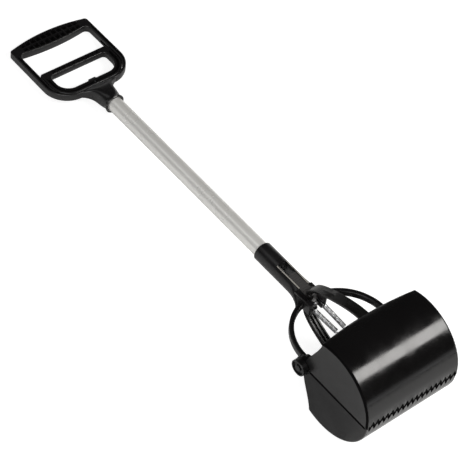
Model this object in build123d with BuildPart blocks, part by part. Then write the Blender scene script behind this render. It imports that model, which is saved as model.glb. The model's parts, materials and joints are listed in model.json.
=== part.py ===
"""Pooper scooper: a D handle whose pull loop opens two toothed jaws through a rod.

Units are millimetres. The tool lies as photographed, on its rear jaw and on the back
of its handle, with +Z up. Its own frame starts on the hinge axis: X runs along the
hinge, Y points to the front jaw and Z runs up the tube to the handle.
"""
import os
from math import asin, atan2, cos, hypot, pi, sin, sqrt

from build123d import *

os.makedirs("parts", exist_ok=True)

# Whole tool
overrun = 1.0
running_clearance = 0.05
side_clearance = 0.3
trigger_travel = 19.0

# Jaws
jaw_width = 150.0
jaw_radius = 70.5
jaw_drop = 47.0
jaw_wall = 2.4
jaw_edge = 1.8
rim_height = -24.5
rim_rise = 7.5
seam_gap = 1.3
tooth_count = 18
tooth_margin = 2.1
tooth_height = 8.6
tooth_gap = 2.2
ear_radius = 12.0
ear_pocket_clearance = 0.6
lap_wall = 2.3
lap_gap = 0.4
brow_start = -1.0
brow_shares = ((0.36, 0.28), (0.56, 0.55), (0.72, 0.76), (0.87, 0.92))
web_reach_share = 0.45
web_drop_share = 0.98
web_radius_share = 0.75
half_jaw = jaw_width / 2
wall_start = half_jaw - jaw_wall
rim_half_chord = sqrt(jaw_radius**2 - (jaw_drop + rim_height) ** 2)
tooth_span = 2 * (wall_start - tooth_margin)
tooth_pitch = tooth_span / tooth_count

# Hinge
axle_radius = 3.0
axle_overhang = 4.5
cap_radius = 11.3
cap_thickness = 8.2
cap_rim = 1.8
cap_recess = 2.2
cap_round = 0.8
cap_boss_radius = 4.6
washer_thickness = 0.8
washer_radius = 8.0

# Arch of the yoke, whose legs stand inside the jaws' laps
arch_wall = 6.4
arch_depth = 9.0
arch_centre = 9.5
arch_edge = 1.2
leg_boss_radius = 9.0
arch_radius = wall_start - lap_gap - lap_wall - side_clearance - washer_thickness
leg_inner = arch_radius - arch_wall
arch_crown = arch_centre + leg_inner

# Window and socket of the yoke
window_width = 14.0
window_clearance = 0.6
window_stop = 0.4
socket_radius = 13.6
socket_floor = 2.8
socket_depth = 35.0
socket_lip = 1.0
rod_room = 3.4

# Pull linkage
slider_pin_reach = 13.2
slider_pin_drop = 0.9
slider_pin_height = arch_crown - slider_pin_drop
jaw_pin_inset = 13.3
jaw_pin_reach = rim_half_chord - jaw_pin_inset
jaw_pin_height = -20.5
pin_radius = 1.5
pin_spare = 0.3
open_pivot_offset = 0.495
open_pivot_clearance = 0.56
link_width = 15.0
link_plate = 2.0
link_depth = 5.0
link_flange = 2.0
link_eye = 5.4
link_cap_rise = 5.8
link_cap_clearance = 0.7
link_rib = 1.6
link_shares = ((0.12, 0.01), (0.295, 0.075), (0.50, 0.22), (0.68, 0.405), (0.84, 0.605), (0.955, 0.80))
link_top = slider_pin_height + link_cap_rise
link_cap_reach = socket_radius + link_cap_clearance
link_eye_reach = jaw_pin_reach + open_pivot_offset
link_outside = link_eye_reach + link_eye
link_height = link_top - jaw_pin_height
lug_width = window_width - 2 * (link_flange + side_clearance + window_clearance)
lug_radius = 3.0
lug_root_drop = 10.5
lug_root_depth = 12.0

# Slider and rod
slider_width = window_width - window_clearance
slider_half_depth = 10.5
slider_lip_gap = 1.6
slider_lip = 2.6
slider_lip_depth = socket_radius + side_clearance
slider_face = 35.4
slider_rib_count = 9
slider_rib_pitch = 3.4
slider_groove = 1.1
slider_groove_depth = 0.7
slider_waist = slider_pin_reach - link_eye - window_clearance
slider_foot = slider_pin_height - pin_radius
slider_shoulder = link_top + slider_lip_gap
slider_top = slider_shoulder + slider_face
rod_radius = 2.5
rod_tail = 1.5
nut_height = 4.0
nut_radius = 4.6
nut_foot = slider_pin_height - lug_radius - nut_height
rod_end = nut_foot - rod_tail

# Springs
wire_radius = 0.6
coil_radius = 2.85
coil_pitch = 1.7
coil_turns = 23
coil_foot = 17.0
coil_foot_spacing = 6.2
hook_gap = 1.0
hook_clearance = 0.1
hook_rise = 2.8
hook_run = 5.0
hook_tail = 1.2
spring_pin_radius = 1.25
spring_pin_lift = 3.5
spring_pin_spare = 1.8
coil_head_spacing = window_width / 2 + hook_gap
spring_pin_height = slider_foot + spring_pin_lift
spring_pin_half_length = coil_head_spacing + wire_radius + spring_pin_spare

# Flare and cheeks of the yoke
flare_length = 33.1
flare_half_width = 27.4
flare_width_shares = (0.0, 0.12, 0.34, 0.64, 1.0)
flare_depth_shares = (0.0, 0.26, 0.58, 0.84, 1.0)
flare_height_shares = (0.0, 0.315, 0.60, 0.83, 1.0)
cheek_drop = 11.9
cheek_rise = 18.1
cheek_wall = 2.5
cheek_half_depth = 8.6
relief_side_gap = 1.3
relief_half_depth = 4.0
relief_spare = 4.0
flare_top = arch_crown + flare_length
cheek_foot = arch_crown - cheek_drop
cheek_top = arch_crown + cheek_rise
relief_half_width = spring_pin_half_length + relief_side_gap
cheek_half_width = relief_half_width + cheek_wall
relief_top = spring_pin_height + trigger_travel + relief_spare

# Tube and bushes
tube_radius = 11.0
tube_wall = 1.5
tube_length = 371.0
bush_length = 11.0
bush_inset = 1.0
window_top = slider_top + trigger_travel + window_stop
tube_foot = window_top + socket_floor
tube_head = tube_foot + tube_length
socket_top = tube_foot + socket_depth

# Handle frame
handle_half_width = 64.5
handle_height = 128.5
handle_depth = 11.5
handle_edge = 1.2
handle_side = 7.1
handle_floor = 3.0
crown_rise = 7.5
crown_corner = 5.0
corner_flat = 1.0
grip_width = 26.0
grip_belly = 4.0
opening_corner = 7.0
neck_radius = 12.0
neck_length = 18.5
collar_radius = 14.5
collar_grip = 20.0
collar_cap = 2.0
collar_top_radius = 6.6
collar_lip = 1.2
collar_inset = 0.5
grip_cells = 11
grip_cell_margin = 16.1
grip_rib = 1.8
grip_cell_height = 7.4
grip_row_pitch = 9.0
cell_depth = 1.4
groove_width = 4.2
groove_depth = 2.0
tongue_clearance = 0.3
collar_foot = tube_head - collar_grip
collar_shoulder = tube_head + collar_cap
handle_base = tube_head + neck_length
collar_top = handle_base - collar_inset
handle_top = handle_base + handle_height
handle_shoulder = handle_top - crown_rise
handle_corner = handle_half_width - collar_radius - neck_radius - corner_flat
grip_edge_middle = handle_top - grip_width
grip_edge_end = grip_edge_middle + grip_belly
grip_row_height = (handle_top + grip_edge_middle) / 2
grip_cell_pitch = 2 * (handle_half_width - grip_cell_margin) / grip_cells
opening_half_width = handle_half_width - handle_side
opening_foot = handle_base + handle_floor
opening_foot_radius = handle_corner - handle_side

# Trigger loop, nested in the handle's opening
loop_side_gap = 1.0
loop_seat_gap = 0.7
loop_height = 55.8
loop_depth = 10.4
loop_edge = 1.2
loop_head_radius = 4.0
loop_floor = 10.8
loop_bar = 9.5
loop_side = 9.9
loop_corner_share = 0.36
boss_half_width = 6.0
boss_rise = 2.5
bar_cells = 10
bar_cell_margin = 11.4
bar_rib = 1.8
bar_cell_height = 5.4
tongue_length = 19.0
rod_seat = 9.3
rod_pin_lift = 4.8
rod_pin_radius = 1.25
loop_half_width = opening_half_width - loop_side_gap
loop_foot = opening_foot + loop_seat_gap
loop_head = loop_foot + loop_height
loop_foot_radius = opening_foot_radius - loop_side_gap
loop_opening_foot = loop_foot + loop_floor
loop_opening_head = loop_head - loop_bar
loop_opening_foot_radius = loop_foot_radius - loop_side
loop_free_height = loop_opening_head - loop_opening_foot - loop_opening_foot_radius
loop_opening_head_radius = loop_corner_share * loop_free_height
bar_cell_pitch = 2 * (loop_half_width - bar_cell_margin) / bar_cells
tongue_foot = loop_head - loop_head_radius - tongue_length
groove_height = tongue_length + trigger_travel + 2 * tongue_clearance
groove_middle = tongue_foot - tongue_clearance + groove_height / 2
rod_head = loop_foot + rod_seat
rod_pin_height = loop_foot + rod_pin_lift

# Screws, each at the middle of a bush
screw_head_radius = 3.2
screw_head_height = 1.6
screw_radius = 1.5
screw_depth = 6.0
screw_slot = 0.9
handle_screw_height = tube_head - bush_inset - bush_length / 2
socket_screw_height = tube_foot + bush_inset + bush_length / 2

# Lean of the tool: the jaw's curve and the rounded back edge of the handle touch the floor
edge_reach = handle_top + jaw_drop - handle_edge
edge_back = handle_depth / 2 - handle_edge
lean = asin((jaw_radius - handle_edge) / hypot(edge_reach, edge_back)) - atan2(edge_back, edge_reach)
hinge_height = jaw_radius - jaw_drop * sin(lean)
hinge_back = ((handle_top - jaw_drop) * cos(lean) + handle_depth / 2 * sin(lean) - jaw_radius) / 2

tool = Plane(
    origin=(0, hinge_back, hinge_height),
    x_dir=(1, 0, 0),
    z_dir=(0, -cos(lean), -sin(lean)),
)
front = Plane(origin=tool.origin, x_dir=tool.x_dir, z_dir=-tool.y_dir)
side = Plane(origin=tool.origin, x_dir=tool.y_dir, z_dir=tool.x_dir)
tool_axis = Axis(tool.origin, tool.z_dir)
depth_axis = Axis(tool.origin, tool.y_dir)


def ring(radius, bore, start, end):
    """Round piece on the tube's axis from one height to another."""
    with BuildPart() as body:
        with BuildSketch(tool.offset(start)):
            Circle(radius)
            if bore:
                Circle(bore, mode=Mode.SUBTRACT)
        extrude(amount=end - start)
    return body.part


def cross_pin(reach, height, radius, half_length):
    """Pin that runs along the hinge's direction."""
    with BuildPart() as body:
        with BuildSketch(side):
            with Locations((reach, height)):
                Circle(radius)
        extrude(amount=half_length, both=True)
    return body.part


def save(part, name):
    """Label one node and write it to its STEP file."""
    part.label = name
    export_step(part, f"parts/{name}.step")


# Handle frame
cells_front = front.offset(-handle_depth / 2)
cells_back = front.offset(handle_depth / 2)

with BuildSketch() as handle_opening:
    with BuildLine():
        Line((-opening_half_width, grip_edge_end), (-opening_half_width, opening_foot))
        Line((-opening_half_width, opening_foot), (opening_half_width, opening_foot))
        Line((opening_half_width, opening_foot), (opening_half_width, grip_edge_end))
        ThreePointArc(
            (opening_half_width, grip_edge_end),
            (0, grip_edge_middle),
            (-opening_half_width, grip_edge_end),
        )
    make_face()
    fillet(handle_opening.vertices().group_by(Axis.Y)[0], opening_foot_radius)
    fillet(handle_opening.vertices().group_by(Axis.Y)[-1], opening_corner)

with BuildSketch() as handle_outline:
    with BuildLine():
        ThreePointArc(
            (handle_half_width, handle_shoulder),
            (0, handle_top),
            (-handle_half_width, handle_shoulder),
        )
        Line((-handle_half_width, handle_shoulder), (-handle_half_width, handle_base))
        Line((-handle_half_width, handle_base), (handle_half_width, handle_base))
        Line((handle_half_width, handle_base), (handle_half_width, handle_shoulder))
    make_face()
    fillet(handle_outline.vertices().group_by(Axis.Y)[0], handle_corner)
    fillet(handle_outline.vertices().group_by(Axis.Y)[-1], crown_corner)

with BuildPart() as handle_frame:
    with BuildSketch(front):
        add(handle_outline.sketch)
        add(handle_opening.sketch, mode=Mode.SUBTRACT)
    extrude(amount=handle_depth / 2, both=True)
    fillet(handle_frame.edges().group_by(depth_axis)[0], handle_edge)
    fillet(handle_frame.edges().group_by(depth_axis)[-1], handle_edge)
    # Plate that flares from the collar into the lower bar
    with BuildSketch(front):
        with BuildLine():
            RadiusArc(
                (collar_radius + neck_radius, handle_base),
                (collar_radius, handle_base - neck_radius),
                -neck_radius,
            )
            Line((collar_radius, handle_base - neck_radius), (-collar_radius, handle_base - neck_radius))
            RadiusArc(
                (-collar_radius, handle_base - neck_radius),
                (-collar_radius - neck_radius, handle_base),
                -neck_radius,
            )
            Line((-collar_radius - neck_radius, handle_base), (-collar_radius, handle_base + handle_edge))
            Line((-collar_radius, handle_base + handle_edge), (collar_radius, handle_base + handle_edge))
            Line((collar_radius, handle_base + handle_edge), (collar_radius + neck_radius, handle_base))
        make_face()
    extrude(amount=handle_depth / 2, both=True)
    # Collar with its shoulder turned down into the bar
    with BuildSketch(front):
        with BuildLine():
            Polyline(
                (0, collar_top),
                (0, collar_foot),
                (collar_radius - collar_lip, collar_foot),
                (collar_radius, collar_foot + collar_lip),
                (collar_radius, collar_shoulder),
                (collar_top_radius, collar_top),
                (0, collar_top),
            )
        make_face()
    revolve(axis=tool_axis)
    with BuildSketch(tool.offset(collar_foot)):
        Circle(tube_radius)
    extrude(amount=tube_head - collar_foot, mode=Mode.SUBTRACT)
    with BuildSketch(tool.offset(tube_head)):
        Circle(rod_room)
    extrude(amount=opening_foot - tube_head + overrun, mode=Mode.SUBTRACT)
    # Cells of the grip on both faces
    with BuildSketch(cells_front):
        with Locations((0, grip_row_height)):
            with GridLocations(grip_cell_pitch, grip_row_pitch, grip_cells, 2):
                Rectangle(grip_cell_pitch - grip_rib, grip_cell_height)
    extrude(amount=cell_depth, mode=Mode.SUBTRACT)
    with BuildSketch(cells_back):
        with Locations((0, grip_row_height)):
            with GridLocations(grip_cell_pitch, grip_row_pitch, grip_cells, 2):
                Rectangle(grip_cell_pitch - grip_rib, grip_cell_height)
    extrude(amount=-cell_depth, mode=Mode.SUBTRACT)
    # Grooves that guide the trigger loop
    with BuildSketch(front):
        with Locations((0, groove_middle)):
            Rectangle(2 * (opening_half_width + groove_depth), groove_height)
    extrude(amount=groove_width / 2, both=True, mode=Mode.SUBTRACT)
    # Screw hole in the back of the collar
    with BuildSketch(front):
        with Locations((0, handle_screw_height)):
            Circle(screw_radius)
    extrude(amount=collar_radius + overrun, mode=Mode.SUBTRACT)
save(handle_frame.part, "handle_frame")

# Trigger loop

with BuildSketch() as loop_outline:
    with Locations((0, loop_foot + loop_height / 2)):
        Rectangle(2 * loop_half_width, loop_height)
    fillet(loop_outline.vertices().group_by(Axis.Y)[0], loop_foot_radius)
    fillet(loop_outline.vertices().group_by(Axis.Y)[-1], loop_head_radius)

with BuildSketch() as loop_opening:
    with Locations((0, (loop_opening_foot + loop_opening_head) / 2)):
        Rectangle(2 * (loop_half_width - loop_side), loop_opening_head - loop_opening_foot)
    fillet(loop_opening.vertices().group_by(Axis.Y)[0], loop_opening_foot_radius)
    fillet(loop_opening.vertices().group_by(Axis.Y)[-1], loop_opening_head_radius)
    with Locations((0, loop_opening_foot)):
        Rectangle(2 * boss_half_width, 2 * boss_rise, mode=Mode.SUBTRACT)

with BuildPart() as trigger_loop:
    with BuildSketch(front):
        add(loop_outline.sketch)
        add(loop_opening.sketch, mode=Mode.SUBTRACT)
    extrude(amount=loop_depth / 2, both=True)
    fillet(trigger_loop.edges().group_by(depth_axis)[0], loop_edge)
    fillet(trigger_loop.edges().group_by(depth_axis)[-1], loop_edge)
    with BuildSketch(front):
        for hand in (-1, 1):
            with Locations((hand * (loop_half_width + groove_depth / 2 - tongue_clearance), 0)):
                with Locations((0, tongue_foot + tongue_length / 2)):
                    Rectangle(groove_depth, tongue_length)
    extrude(amount=groove_width / 2 - tongue_clearance, both=True)
    with BuildSketch(front.offset(-loop_depth / 2)):
        with Locations((0, loop_head - loop_bar / 2)):
            with GridLocations(bar_cell_pitch, 0, bar_cells, 1):
                Rectangle(bar_cell_pitch - bar_rib, bar_cell_height)
    extrude(amount=cell_depth, mode=Mode.SUBTRACT)
    with BuildSketch(front.offset(loop_depth / 2)):
        with Locations((0, loop_head - loop_bar / 2)):
            with GridLocations(bar_cell_pitch, 0, bar_cells, 1):
                Rectangle(bar_cell_pitch - bar_rib, bar_cell_height)
    extrude(amount=-cell_depth, mode=Mode.SUBTRACT)
    with BuildSketch(tool.offset(loop_foot)):
        Circle(rod_radius)
    extrude(amount=rod_head - loop_foot, mode=Mode.SUBTRACT)
    with BuildSketch(front):
        with Locations((0, rod_pin_height)):
            Circle(rod_pin_radius)
    extrude(amount=loop_depth / 2 + overrun, both=True, mode=Mode.SUBTRACT)
save(trigger_loop.part, "trigger_loop")

# Tube with a hole for each screw
with BuildPart() as tube:
    with BuildSketch(tool.offset(tube_foot)):
        Circle(tube_radius)
        Circle(tube_radius - tube_wall, mode=Mode.SUBTRACT)
    extrude(amount=tube_head - tube_foot)
    with BuildSketch(front):
        with Locations((0, handle_screw_height), (0, socket_screw_height)):
            Circle(screw_radius)
    extrude(amount=tube_radius + overrun, mode=Mode.SUBTRACT)
save(tube.part, "tube")

# Rod bushes pressed into the ends of the tube
bush_starts = {
    "lower_rod_bush": tube_foot + bush_inset,
    "upper_rod_bush": tube_head - bush_inset - bush_length,
}
for name, start in bush_starts.items():
    with BuildPart() as bush:
        add(ring(tube_radius - tube_wall, rod_radius + running_clearance, start, start + bush_length))
        with BuildSketch(front):
            with Locations((0, handle_screw_height), (0, socket_screw_height)):
                Circle(screw_radius)
        extrude(amount=tube_radius, mode=Mode.SUBTRACT)
    save(bush.part, name)

# Screws of the handle and of the socket
screw_places = {
    "handle_screw": (handle_screw_height, collar_radius),
    "socket_screw": (socket_screw_height, socket_radius),
}
for name, (height, seat) in screw_places.items():
    with BuildPart() as screw:
        with BuildSketch(front.offset(seat)):
            with Locations((0, height)):
                Circle(screw_head_radius)
        extrude(amount=screw_head_height)
        with BuildSketch(front.offset(seat)):
            with Locations((0, height)):
                Circle(screw_radius)
        extrude(amount=-(seat - tube_radius + screw_depth))
        with BuildSketch(front.offset(seat + screw_head_height)):
            with Locations((0, height)):
                Rectangle(2 * screw_head_radius + overrun, screw_slot)
        extrude(amount=-screw_head_height / 2, mode=Mode.SUBTRACT)
    save(screw.part, name)

# Yoke
cheek_height = cheek_top - cheek_foot
window_foot = cheek_foot - overrun

with BuildPart() as yoke:
    # Arch with its two legs
    with BuildSketch(front):
        with Locations((0, arch_centre)):
            Circle(arch_radius)
        with Locations((0, arch_centre / 2)):
            Rectangle(2 * arch_radius, arch_centre)
        with Locations((0, arch_centre)):
            Circle(leg_inner, mode=Mode.SUBTRACT)
        with Locations((0, arch_centre / 2)):
            Rectangle(2 * leg_inner, arch_centre, mode=Mode.SUBTRACT)
        with Locations((0, (arch_centre + arch_radius) / 2)):
            Rectangle(2 * arch_radius, arch_centre + arch_radius, mode=Mode.INTERSECT)
    extrude(amount=arch_depth / 2, both=True)
    fillet(yoke.edges().group_by(depth_axis)[0], arch_edge)
    fillet(yoke.edges().group_by(depth_axis)[-1], arch_edge)
    # Bosses of the legs
    for hand in (-1, 1):
        with BuildSketch(side.offset(hand * leg_inner)):
            Circle(leg_boss_radius)
        extrude(amount=hand * arch_wall)
    # Flare from the round socket to the flat arch
    flare_shares = zip(flare_height_shares, flare_width_shares, flare_depth_shares)
    for height_share, width_share, depth_share in flare_shares:
        with BuildSketch(tool.offset(flare_top - height_share * flare_length)):
            Ellipse(
                socket_radius + width_share * (flare_half_width - socket_radius),
                socket_radius - depth_share * (socket_radius - arch_depth / 2),
            )
    loft()
    with BuildSketch(tool.offset(flare_top)):
        Circle(socket_radius)
    extrude(amount=socket_top - flare_top)
    chamfer(yoke.edges().group_by(tool_axis)[-1], socket_lip)
    # Cheeks beside the slider
    with BuildSketch(tool.offset(cheek_foot)):
        RectangleRounded(2 * cheek_half_width, 2 * cheek_half_depth, arch_edge)
    extrude(amount=cheek_height)
    # Bore for the tube, hole for the rod, window for the slider
    with BuildSketch(tool.offset(tube_foot)):
        Circle(tube_radius)
    extrude(amount=socket_top - tube_foot + overrun, mode=Mode.SUBTRACT)
    with BuildSketch(tool.offset(window_top)):
        Circle(rod_room)
    extrude(amount=tube_foot - window_top, mode=Mode.SUBTRACT)
    with BuildSketch(front):
        with Locations((0, (window_foot + window_top) / 2)):
            Rectangle(window_width, window_top - window_foot)
    extrude(amount=socket_radius + overrun, both=True, mode=Mode.SUBTRACT)
    with BuildSketch(front):
        with Locations((0, (window_foot + relief_top) / 2)):
            Rectangle(2 * relief_half_width, relief_top - window_foot)
    extrude(amount=relief_half_depth, both=True, mode=Mode.SUBTRACT)
    with BuildSketch(side):
        Circle(axle_radius)
    extrude(amount=arch_radius + overrun, both=True, mode=Mode.SUBTRACT)
    with BuildSketch(front):
        with Locations((0, socket_screw_height)):
            Circle(screw_radius)
    extrude(amount=socket_radius + overrun, mode=Mode.SUBTRACT)
save(yoke.part, "yoke")

# Slider
with BuildPart() as slider:
    with BuildSketch(front):
        with Locations((0, (slider_shoulder + slider_top) / 2)):
            Rectangle(slider_width, slider_top - slider_shoulder)
    extrude(amount=slider_half_depth, both=True)
    for facing in (-1, 1):
        with BuildSketch(front.offset(-facing * slider_half_depth)):
            with Locations((0, (slider_shoulder + slider_lip + slider_top) / 2)):
                with GridLocations(0, slider_rib_pitch, 1, slider_rib_count):
                    Rectangle(slider_width + overrun, slider_groove)
        extrude(amount=facing * slider_groove_depth, mode=Mode.SUBTRACT)
    with BuildSketch(front):
        with Locations((0, slider_shoulder + slider_lip / 2)):
            Rectangle(slider_width, slider_lip)
    extrude(amount=slider_lip_depth, both=True)
    with BuildSketch(front):
        with Locations((0, (slider_foot + slider_shoulder) / 2)):
            Rectangle(slider_width, slider_shoulder - slider_foot)
    extrude(amount=slider_waist, both=True)
    with BuildSketch(side):
        with Locations((slider_pin_reach, slider_pin_height), (-slider_pin_reach, slider_pin_height)):
            Circle(lug_radius)
        with Locations((0, slider_pin_height)):
            Rectangle(2 * slider_pin_reach, 2 * lug_radius)
    extrude(amount=lug_width / 2, both=True)
    with BuildSketch(side):
        with Locations((slider_pin_reach, slider_pin_height), (-slider_pin_reach, slider_pin_height)):
            Circle(pin_radius)
        with Locations((0, spring_pin_height)):
            Circle(spring_pin_radius)
    extrude(amount=slider_width / 2, both=True, mode=Mode.SUBTRACT)
    with BuildSketch(tool.offset(slider_pin_height - lug_radius)):
        Circle(rod_radius)
    extrude(amount=slider_top - slider_pin_height + lug_radius, mode=Mode.SUBTRACT)
save(slider.part, "slider")

# Pull rod with its two cross holes, and its nut
with BuildPart() as pull_rod:
    with BuildSketch(tool.offset(rod_end)):
        Circle(rod_radius)
    extrude(amount=rod_head - rod_end)
    with BuildSketch(side):
        with Locations((0, spring_pin_height)):
            Circle(spring_pin_radius)
    extrude(amount=rod_radius + overrun, both=True, mode=Mode.SUBTRACT)
    with BuildSketch(front):
        with Locations((0, rod_pin_height)):
            Circle(rod_pin_radius)
    extrude(amount=rod_radius + overrun, both=True, mode=Mode.SUBTRACT)
save(pull_rod.part, "pull_rod")

with BuildPart() as rod_nut:
    with BuildSketch(tool.offset(nut_foot)):
        RegularPolygon(nut_radius, 6)
        Circle(rod_radius, mode=Mode.SUBTRACT)
    extrude(amount=nut_height)
save(rod_nut.part, "rod_nut")

# Cross pins
with BuildPart() as rod_pin:
    with BuildSketch(front):
        with Locations((0, rod_pin_height)):
            Circle(rod_pin_radius)
    extrude(amount=loop_depth / 2, both=True)
save(rod_pin.part, "rod_pin")

slider_pin_half = lug_width / 2 + side_clearance + link_flange
save(cross_pin(0, spring_pin_height, spring_pin_radius, spring_pin_half_length), "spring_pin")
save(cross_pin(slider_pin_reach, slider_pin_height, pin_radius, slider_pin_half), "front_slider_pin")
save(cross_pin(-slider_pin_reach, slider_pin_height, pin_radius, slider_pin_half), "rear_slider_pin")
jaw_pin_half = slider_pin_half + pin_spare
save(cross_pin(jaw_pin_reach, jaw_pin_height, pin_radius, jaw_pin_half), "front_jaw_pin")
save(cross_pin(-jaw_pin_reach, jaw_pin_height, pin_radius, jaw_pin_half), "rear_jaw_pin")

# Links: a bowed plate over two flanges, with an eye at each end
link_points = [(link_cap_reach, link_top)]
for reach_share, drop_share in link_shares:
    point_reach = link_cap_reach + reach_share * (link_outside - link_cap_reach)
    link_points.append((point_reach, link_top - drop_share * link_height))
link_points.append((link_outside, jaw_pin_height + lug_radius))


def inset(points, depth):
    """Move the points of the link's outer curve inward by one depth."""
    moved = []
    for index, (reach, height) in enumerate(points):
        before = points[max(index - 1, 0)]
        after = points[min(index + 1, len(points) - 1)]
        along = (after[0] - before[0], after[1] - before[1])
        size = hypot(*along)
        moved.append((reach + depth * along[1] / size, height - depth * along[0] / size))
    return moved


def band(points, depth, facing):
    """Outline between the link's outer curve and the same curve moved inward."""
    outer = [(facing * reach, height) for reach, height in points]
    inner = [(facing * reach, height) for reach, height in inset(points, depth)]
    with BuildSketch() as shape:
        with BuildLine():
            Spline(*outer)
            Line(outer[-1], inner[-1])
            Spline(*reversed(inner))
            Line(inner[0], outer[0])
        make_face()
    return shape.sketch


def link(facing):
    """One link, on the front or on the rear jaw's side."""
    flange_inner = lug_width / 2 + side_clearance
    eye_places = (
        (facing * slider_pin_reach, slider_pin_height),
        (facing * link_eye_reach, jaw_pin_height),
    )
    with BuildPart() as body:
        with BuildSketch(side):
            add(band(link_points, link_plate, facing))
        extrude(amount=link_width / 2, both=True)
        for hand in (-1, 1):
            with BuildSketch(side.offset(hand * flange_inner)):
                add(band(link_points, link_depth, facing))
                with Locations(*eye_places):
                    Circle(link_eye)
            extrude(amount=hand * link_flange)
        with BuildSketch(side):
            add(band(link_points[2:-2], link_depth, facing))
        extrude(amount=link_rib / 2, both=True)
        with BuildSketch(side):
            with Locations(eye_places[0]):
                Circle(pin_radius + running_clearance)
            with Locations(eye_places[1]):
                Circle(pin_radius + open_pivot_clearance)
        extrude(amount=link_width, both=True, mode=Mode.SUBTRACT)
    return body.part


save(link(1), "front_link")
save(link(-1), "rear_link")

# Jaws

def seam_points(shift):
    """Zigzag of the seam over the width of the jaws, moved by one shift in depth."""
    points = [(-half_jaw - overrun, shift), (-tooth_span / 2, shift)]
    for index in range(2 * tooth_count):
        place = (index + 1 / 2) * tooth_pitch / 2 - tooth_span / 2
        height = tooth_height / 2 * (-1) ** index
        points.append((place, height + shift))
    points.append((tooth_span / 2, shift))
    points.append((half_jaw + overrun, shift))
    return points


def end_outline(facing):
    """Outline of one end wall, from the seam to the curved wall."""
    brow = [(facing * ear_radius / 2, brow_start)]
    for reach_share, drop_share in brow_shares:
        height = brow_start + drop_share * (rim_height - brow_start)
        brow.append((facing * reach_share * rim_half_chord, height))
    brow.append((facing * rim_half_chord, rim_height))
    far = facing * (jaw_radius + overrun)
    low = -jaw_drop - jaw_radius - overrun
    seam = facing * seam_gap / 2
    with BuildSketch() as outline:
        with Locations((0, -jaw_drop)):
            Circle(jaw_radius)
        with BuildLine():
            Spline(*brow)
            Line((facing * rim_half_chord, rim_height), (far, rim_height))
            Line((far, rim_height), (far, low))
            Line((far, low), (seam, low))
            Line((seam, low), (seam, brow_start))
            Line((seam, brow_start), (facing * ear_radius / 2, brow_start))
        make_face(mode=Mode.INTERSECT)
    return outline.sketch


with BuildPart() as barrel:
    with BuildSketch(side):
        with Locations((0, -jaw_drop)):
            Circle(jaw_radius)
    extrude(amount=half_jaw, both=True)
    fillet(barrel.edges().filter_by(GeomType.CIRCLE), jaw_edge)


def jaw(facing):
    """One jaw: the front one wears the outer ears and the rear one the inner ears."""
    low = -jaw_drop - jaw_radius - overrun
    wall_reach = jaw_radius + tooth_height
    rim_top = rim_height + rim_rise
    above = rim_top + 2 * overrun
    with BuildPart() as body:
        # Curved wall under its arched rim
        with BuildSketch(side):
            with Locations((0, -jaw_drop)):
                Circle(jaw_radius)
                Circle(jaw_radius - jaw_wall, mode=Mode.SUBTRACT)
            with Locations((facing * (wall_reach / 2 - tooth_height), (rim_top + overrun + low) / 2)):
                Rectangle(wall_reach, rim_top + overrun - low, mode=Mode.INTERSECT)
        extrude(amount=half_jaw, both=True)
        with BuildSketch(front):
            with BuildLine():
                ThreePointArc((-half_jaw, rim_height), (0, rim_top), (half_jaw, rim_height))
                Line((half_jaw, rim_height), (half_jaw + overrun, rim_height))
                Line((half_jaw + overrun, rim_height), (half_jaw + overrun, above))
                Line((half_jaw + overrun, above), (-half_jaw - overrun, above))
                Line((-half_jaw - overrun, above), (-half_jaw - overrun, rim_height))
                Line((-half_jaw - overrun, rim_height), (-half_jaw, rim_height))
            make_face()
        extrude(amount=jaw_radius + overrun, both=True, mode=Mode.SUBTRACT)
        # Toothed lip
        seam = seam_points(facing * tooth_gap / 2)
        beyond = -facing * wall_reach
        with BuildSketch(tool.offset(low)):
            with BuildLine():
                Polyline(*seam)
                Line(seam[-1], (seam[-1][0], beyond))
                Line((seam[-1][0], beyond), (seam[0][0], beyond))
                Line((seam[0][0], beyond), seam[0])
            make_face()
        extrude(amount=2 * tooth_height, mode=Mode.SUBTRACT)
        # End walls
        for hand in (-1, 1):
            with BuildSketch(side.offset(hand * wall_start)):
                add(end_outline(facing))
            extrude(amount=hand * jaw_wall)
        add(barrel.part, mode=Mode.INTERSECT)
        # Ears
        for hand in (-1, 1):
            if facing > 0:
                with BuildSketch(side.offset(hand * wall_start)):
                    Circle(ear_radius)
                extrude(amount=hand * jaw_wall)
            else:
                with BuildSketch(side.offset(hand * (wall_start - lap_wall - lap_gap))):
                    Circle(ear_radius)
                    with Locations((-web_reach_share * rim_half_chord, web_drop_share * rim_height)):
                        Circle(web_radius_share * ear_radius)
                    make_hull()
                extrude(amount=hand * (lap_wall + lap_gap))
                with BuildSketch(side.offset(hand * (wall_start - lap_gap))):
                    Circle(ear_radius + ear_pocket_clearance)
                extrude(amount=hand * (jaw_wall + lap_gap + overrun), mode=Mode.SUBTRACT)
        # Lug for the link's pin
        root_height = jaw_pin_height - lug_root_drop
        root_reach = sqrt((jaw_radius - jaw_wall / 2) ** 2 - (jaw_drop + root_height) ** 2)
        foot_height = root_height - lug_root_depth
        foot_reach = sqrt((jaw_radius - jaw_wall / 2) ** 2 - (jaw_drop + foot_height) ** 2)
        with BuildSketch(side):
            with Locations((facing * jaw_pin_reach, jaw_pin_height)):
                Circle(lug_radius)
            with Locations((facing * root_reach, root_height), (facing * foot_reach, foot_height)):
                Circle(jaw_wall / 3)
            make_hull()
            with Locations((facing * jaw_pin_reach, jaw_pin_height)):
                Circle(pin_radius, mode=Mode.SUBTRACT)
        extrude(amount=lug_width / 2, both=True)
        with BuildSketch(side):
            Circle(axle_radius + running_clearance)
        extrude(amount=jaw_width, both=True, mode=Mode.SUBTRACT)
    return body.part


save(jaw(1), "front_jaw")
save(jaw(-1), "rear_jaw")

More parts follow.
